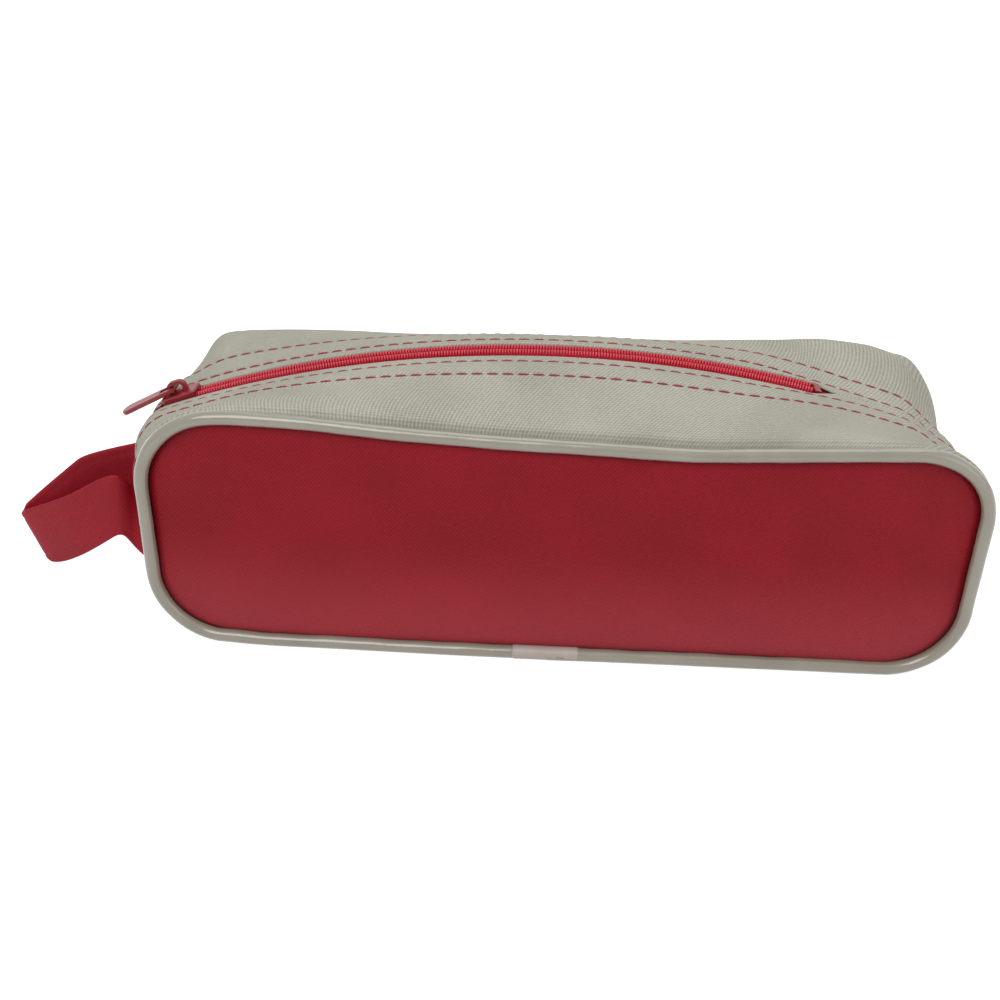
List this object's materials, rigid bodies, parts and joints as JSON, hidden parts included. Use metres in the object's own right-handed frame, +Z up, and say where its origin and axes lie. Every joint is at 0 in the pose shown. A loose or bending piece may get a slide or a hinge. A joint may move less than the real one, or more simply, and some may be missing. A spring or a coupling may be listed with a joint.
{
  "type": "zip case",
  "caption": "Soft canvas zip case for game tiles: red front and back panels in light piping, stone gusset, red coil zip over the domed top, and a red strap loop on one end.",
  "frame": {"origin": "middle of the flat base, half-way along and half-way through the case", "axes": "+X along the case away from the strap, +Y from the front panel to the back panel, +Z up"},
  "size_m": [0.3183, 0.076, 0.0902],
  "materials": {
    "red_canvas": "coated woven polyester, satin",
    "stone_canvas": "coated oxford weave, matte",
    "red_band": "folded canvas, satin",
    "piping_vinyl": "glossy extruded vinyl",
    "binding_tape": "woven tape, matte",
    "zip_tape": "knitted tape",
    "zip_coil": "nylon coil",
    "slider_enamel": "gloss enamel",
    "zip_stop": "gloss enamel"
  },
  "bodies": {
    "case": {"front_panel": "red_canvas", "back_panel": "red_canvas", "front_piping": "piping_vinyl", "back_piping": "piping_vinyl", "front_piping_splice": "piping_vinyl", "back_piping_splice": "piping_vinyl", "front_seam_binding": "binding_tape", "back_seam_binding": "binding_tape", "base_gusset": "stone_canvas", "front_strip_ends": "stone_canvas", "back_strip_ends": "stone_canvas", "front_zip_tape_ends": "zip_tape", "back_zip_tape_ends": "zip_tape", "front_zip_coil_ends": "zip_coil", "back_zip_coil_ends": "zip_coil", "zip_top_stops": "zip_stop", "zip_bottom_stop": "zip_stop", "end_facing": "red_band", "strap_root": "red_band"},
    "front_lip": {"front_strip_lip": "stone_canvas", "front_zip_tape": "zip_tape", "front_zip_coil": "zip_coil"},
    "back_lip": {"back_strip_lip": "stone_canvas", "back_zip_tape": "zip_tape", "back_zip_coil": "zip_coil"},
    "slider": {"slider_body": "slider_enamel", "slider_crown": "slider_enamel"},
    "pull": {"slider_pull": "slider_enamel"},
    "strap": {"strap_loop": "red_band"}
  },
  "joints": [
    {"name": "front_lip_fold", "type": "hinge", "parent": "case", "child": "front_lip", "pos_m": [0, -0.0332, 0.0774], "axis": [1, 0, 0], "range_deg": [0, 65]},
    {"name": "back_lip_fold", "type": "hinge", "parent": "case", "child": "back_lip", "pos_m": [0, 0.0332, 0.0774], "axis": [-1, 0, 0], "range_deg": [0, 65]},
    {"name": "slider_travel", "type": "hinge", "parent": "case", "child": "slider", "pos_m": [0, 0, -0.2605], "axis": [0, 1, 0], "range_deg": [0, 32.15]},
    {"name": "pull_swing", "type": "hinge", "parent": "slider", "child": "pull", "pos_m": [-0.12366, 0, 0.07109], "axis": [0, 1, 0], "range_deg": [0, 180]},
    {"name": "strap_swing", "type": "hinge", "parent": "case", "child": "strap", "pos_m": [-0.144, 0, 0.0415], "axis": [-0.5736, 0, 0.8192], "range_deg": [-60, 60]}
  ]
}
